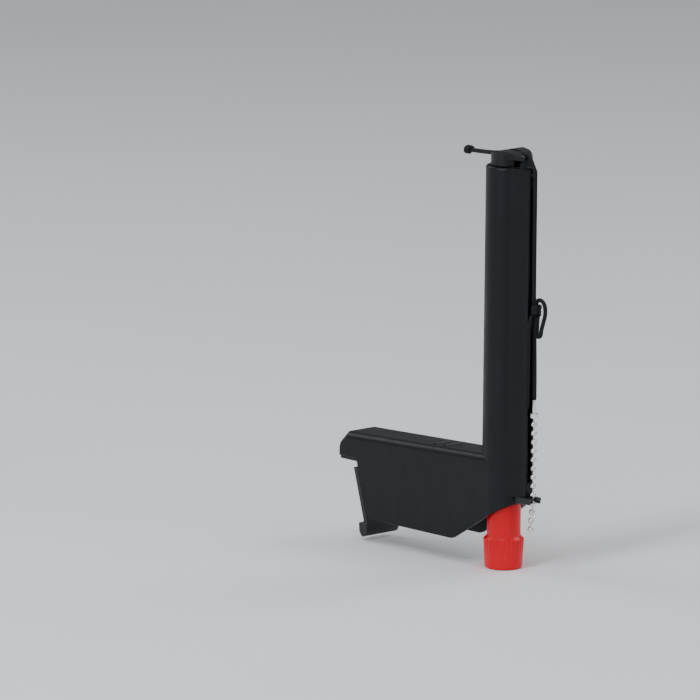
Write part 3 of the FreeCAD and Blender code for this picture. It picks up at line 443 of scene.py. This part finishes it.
def knot_line(turns, coil, low, high, centre_x, lean):
    """A wrapping strand about an upright line, closed by a strand that crosses over it."""
    spots = []
    steps = round(turns * 16)
    for number in range(steps + 1):
        share = number / steps
        angle = share * turns * math.tau
        tilt = lean * math.cos(angle + 0.6)
        spots.append((centre_x + coil * math.cos(angle), coil * math.sin(angle),
                      low + (high - low) * share + tilt))
    angle = turns * math.tau
    for share in (0.25, 0.5, 0.75, 1.0):
        swing = angle + share * 2.6
        spots.append((centre_x + coil * 1.32 * math.cos(swing), coil * 1.32 * math.sin(swing),
                      high - (high - low) * share))
    return spots


def make_cords():
    main = cord_line("net_cord", OVER_HEAD + SLOPE + DROP)
    net_cord = braided_tube("net_cord", main, CORD_RADIUS)
    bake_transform(net_cord)
    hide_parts("cord_over_head", "cord_slope", "cord_drop_upper", "cord_drop_lower")

    wrap = knot_line(KNOT_TURNS, KNOT_COIL, KNOT_LOW, KNOT_HIGH, KNOT_X, KNOT_LEAN)
    knot = braided_tube("cord_knot_wraps", cord_line("knot_wraps", wrap), CORD_RADIUS * KNOT_SQUEEZE,
                        "bracket")
    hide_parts("cord_knot")

    loop_line = cord_line("bow_loop", LOOP)
    loop = braided_tube("bow_loop", loop_line, CORD_RADIUS * LOOP_SQUEEZE, "bracket")
    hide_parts("cord_loop")
    long_line = cord_line("bow_tail_long", TAIL_LONG)
    tail = braided_tube("bow_tail_long", long_line, CORD_RADIUS, "bracket")
    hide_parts("cord_tail_long")
    short = braided_tube("bow_tail_short", cord_line("bow_tail_short", TAIL_SHORT), CORD_RADIUS, "bracket")
    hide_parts("cord_tail_short")

    stopper_low, stopper_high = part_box("cord_stopper_knot")
    stopper = make_stopper(stopper_low, stopper_high)


def make_stopper(low, high):
    """An overhand knot at the cord's end: two wraps and a short end."""
    centre = (low + high) / 2
    spots = []
    for number in range(STOPPER_STEPS + 1):
        share = number / STOPPER_STEPS
        angle = share * STOPPER_TURNS * math.tau
        x = high.x + 0.0006 - POST_X - (high.x - low.x) * share
        spots.append((x, STOPPER_COIL * math.cos(angle), centre.z + STOPPER_COIL * math.sin(angle)))
    spots.append((low.x - POST_X - 0.0012, 0.0009, centre.z - 0.0004))
    line = cord_line("net_end_knot", spots)
    stopper = braided_tube("net_end_knot", line, CORD_RADIUS * KNOT_SQUEEZE, "slider")
    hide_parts("cord_stopper_knot")
    return stopper


# -------------------------------------------------------------- ball chain

BEAD_RADIUS = 0.0016
BEAD_HOLE = 0.00062
BEAD_SIDES = 32
LINK_RADIUS = 0.00036
LINK_GRIP = 0.0005
BALL_PITCH = 0.00453
TAIL_BALLS = 3


def bead_profile():
    """Half outline of a hollow bead from its lower hole to its upper one: (radius, height) pairs."""
    low = math.asin(BEAD_HOLE / BEAD_RADIUS)
    spots = [(BEAD_HOLE * 0.82, -BEAD_RADIUS * math.cos(low) + 0.00022),
             (BEAD_HOLE * 0.9, -BEAD_RADIUS * math.cos(low) + 0.00004)]
    steps = 18
    for number in range(steps + 1):
        angle = low + (math.pi - 2 * low) * number / steps
        spots.append((BEAD_RADIUS * math.sin(angle), -BEAD_RADIUS * math.cos(angle)))
    spots.append((BEAD_HOLE * 0.9, BEAD_RADIUS * math.cos(low) - 0.00004))
    spots.append((BEAD_HOLE * 0.82, BEAD_RADIUS * math.cos(low) - 0.00022))
    return spots


def link_profile(reach):
    """Half outline of the dumbbell pin between two beads."""
    bulb = LINK_RADIUS * 1.5
    return [(0, -reach), (bulb * 0.7, -reach + 0.00008), (bulb, -reach + 0.0003),
            (bulb * 0.7, -reach + 0.0005),
            (LINK_RADIUS, -reach + 0.0006), (LINK_RADIUS * 0.92, 0), (LINK_RADIUS, reach - 0.0006),
            (bulb * 0.7, reach - 0.0005), (bulb, reach - 0.0003), (bulb * 0.7, reach - 0.00008), (0, reach)]


def turned(profile, centre, axis, sides, verts, faces, spin=0.0, seam=0.0):
    """Adds a surface of revolution about an axis through centre to a mesh's lists."""
    turn = Vector((0, 0, 1)).rotation_difference(axis).to_matrix() @ Matrix.Rotation(spin, 3, "Z")
    first = len(verts)
    for radius, height in profile:
        for step in range(sides):
            angle = math.tau * step / sides
            reach = radius * (1 - seam if step == 0 else 1)
            verts.append(centre + turn @ Vector((reach * math.cos(angle), reach * math.sin(angle), height)))
    for row in range(len(profile) - 1):
        base = first + row * sides
        for step in range(sides):
            after = (step + 1) % sides
            faces.append((base + step, base + after, base + sides + after, base + sides + step))


def chain_run(name, centres, links, body, stands_for):
    """Beads at the given centres and the pins between them."""
    verts, faces = [], []
    for number, (centre, axis) in enumerate(centres):
        turned(bead_profile(), centre, axis, BEAD_SIDES, verts, faces, spin=1.1 * number, seam=0.035)
    beads = mesh_piece(f"{name}_beads", verts, faces, "nickel_chain", body)
    verts, faces = [], []
    for centre, axis, reach in links:
        turned(link_profile(reach), centre, axis, 12, verts, faces)
    mesh_piece(f"{name}_pins", verts, faces, "nickel_chain", body)
    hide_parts(stands_for)


def make_chain():
    """Bead by bead: above the catch, then the loose tail below it."""
    low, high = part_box("ball_chain_upper")
    place = (low + high) / 2
    count = round((high.z - low.z - 2 * BEAD_RADIUS) / BALL_PITCH) + 1
    pitch = (high.z - low.z - 2 * BEAD_RADIUS) / (count - 1)
    first = Vector((place.x, place.y, low.z + BEAD_RADIUS))
    up = Vector((0, 0, 1))
    reach = pitch / 2 - BEAD_RADIUS + LINK_GRIP
    centres = [(first + up * pitch * number, up) for number in range(count)]
    links = [(first + up * pitch * (number + 0.5), up, reach) for number in range(count - 1)]
    chain_run("chain_upper", centres, links, "bracket", "ball_chain_upper")

    tail_low, tail_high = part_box("ball_chain_tail")
    end = Vector((tail_low.x + BEAD_RADIUS, place.y, tail_low.z + BEAD_RADIUS))
    down = (end - first).normalized()
    tail_pitch = (end - first).length / TAIL_BALLS
    centres = [(first + down * tail_pitch * number, down) for number in range(1, TAIL_BALLS + 1)]
    links = [(first + down * tail_pitch * (number + 0.5), down, reach) for number in range(TAIL_BALLS)]
    chain_run("chain_tail", centres, links, "chain_tail", "ball_chain_tail")


# ------------------------------------------------------------- stage, lights

FLOOR_HALF = 6.0


def make_floor():
    low = CAD_BOX[0]
    spots = [(-FLOOR_HALF, -FLOOR_HALF), (FLOOR_HALF, -FLOOR_HALF), (FLOOR_HALF, FLOOR_HALF),
             (-FLOOR_HALF, FLOOR_HALF)]
    mesh = bpy.data.meshes.new("floor")
    mesh.from_pydata([(x, y, low.z) for x, y in spots], [], [(0, 1, 2, 3)])
    floor = bpy.data.objects.new("floor", mesh)
    bpy.context.scene.collection.objects.link(floor)
    material, tree, shader = node_tree("floor_pale")
    tree.links.new(ramp(tree, noise(tree, 3, 3), [(0.3, grey(0.88)), (0.7, grey(0.92))]),
                   shader.inputs["Base Color"])
    shader.inputs["Roughness"].default_value = 0.75
    mesh.materials.append(material)


def area_light(name, azimuth, elevation, distance, width, height, power, colour):
    """A soft box that faces the post, placed as the camera's angles are measured."""
    data = bpy.data.lights.new(name, "AREA")
    data.shape = "RECTANGLE"
    data.size, data.size_y = width, height
    data.energy = power
    data.color = colour
    lamp = bpy.data.objects.new(name, data)
    bpy.context.scene.collection.objects.link(lamp)
    around, above = math.radians(azimuth), math.radians(elevation)
    flat = math.cos(above)
    away = Vector((math.sin(around) * flat, -math.cos(around) * flat, math.sin(above)))
    centre = (CAD_BOX[0] + CAD_BOX[1]) / 2
    lamp.location = centre + away * distance
    lamp.rotation_euler = (-away).to_track_quat("-Z", "Y").to_euler()


# name, azimuth, elevation, distance, width, height, power, colour
LIGHTS = [
    ("key", 8, 36, 1.6, 0.4, 1.3, 17, (0.84, 0.91, 1)),
    ("fill", 100, 22, 1.8, 0.9, 1.2, 5.5, (0.92, 0.95, 1)),
    ("top", 40, 80, 1.5, 1.0, 1.0, 4, (1, 1, 1)),
    ("back", 164, 46, 1.8, 0.7, 1.0, 9, (1, 1, 1)),
    ("back_far", 285, 30, 1.8, 0.7, 1.0, 8, (1, 1, 1)),
]


def make_lights():
    world = bpy.data.worlds.new("studio")
    world.use_nodes = True
    backdrop = world.node_tree.nodes["Background"]
    backdrop.inputs["Color"].default_value = (0.9, 0.93, 1, 1)
    backdrop.inputs["Strength"].default_value = 0.3
    bpy.context.scene.world = world
    for light in LIGHTS:
        area_light(*light)


# ------------------------------------------------------------------ assembly

MATERIALS = make_materials()
for part in frame["record"]["subparts"]:
    cad_node = frame["nodes"][part["node"]]
    cad_node.data.materials.clear()
    cad_node.data.materials.append(MATERIALS[part["material_slot"]])

for edged_node, edge_width in BROKEN_EDGES.items():
    round_edges(edged_node, edge_width)

make_camera()
make_cords()
make_chain()
make_floor()
make_lights()
